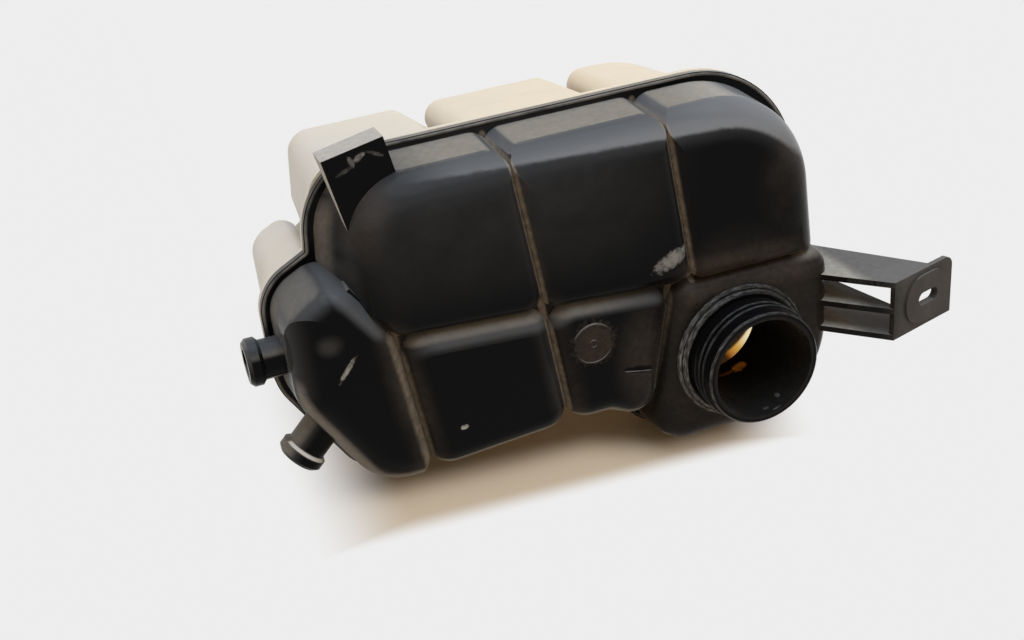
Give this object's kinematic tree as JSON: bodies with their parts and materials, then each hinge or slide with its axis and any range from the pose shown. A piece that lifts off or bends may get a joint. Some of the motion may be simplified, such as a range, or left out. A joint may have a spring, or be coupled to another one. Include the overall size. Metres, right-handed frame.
{
  "type": "coolant expansion tank",
  "caption": "Lobed coolant expansion tank of welded moulded halves, with an open filler neck, hose stubs, a slotted mounting ear and a hook.",
  "frame": {"origin": "under the filler neck's axis, on the plane of the lower cells' floors", "axes": "+Z along the filler neck, out of its mouth; +X along the tank's long back side, towards the mounting ear"},
  "size_m": [0.3089, 0.1715, 0.1305],
  "materials": {
    "dark_half": "satin, dusty in the grooves",
    "pale_half": "natural, slightly translucent"
  },
  "bodies": {
    "root": {"upper_shell": "dark_half", "lower_shell": "pale_half"}
  },
  "joints": []
}
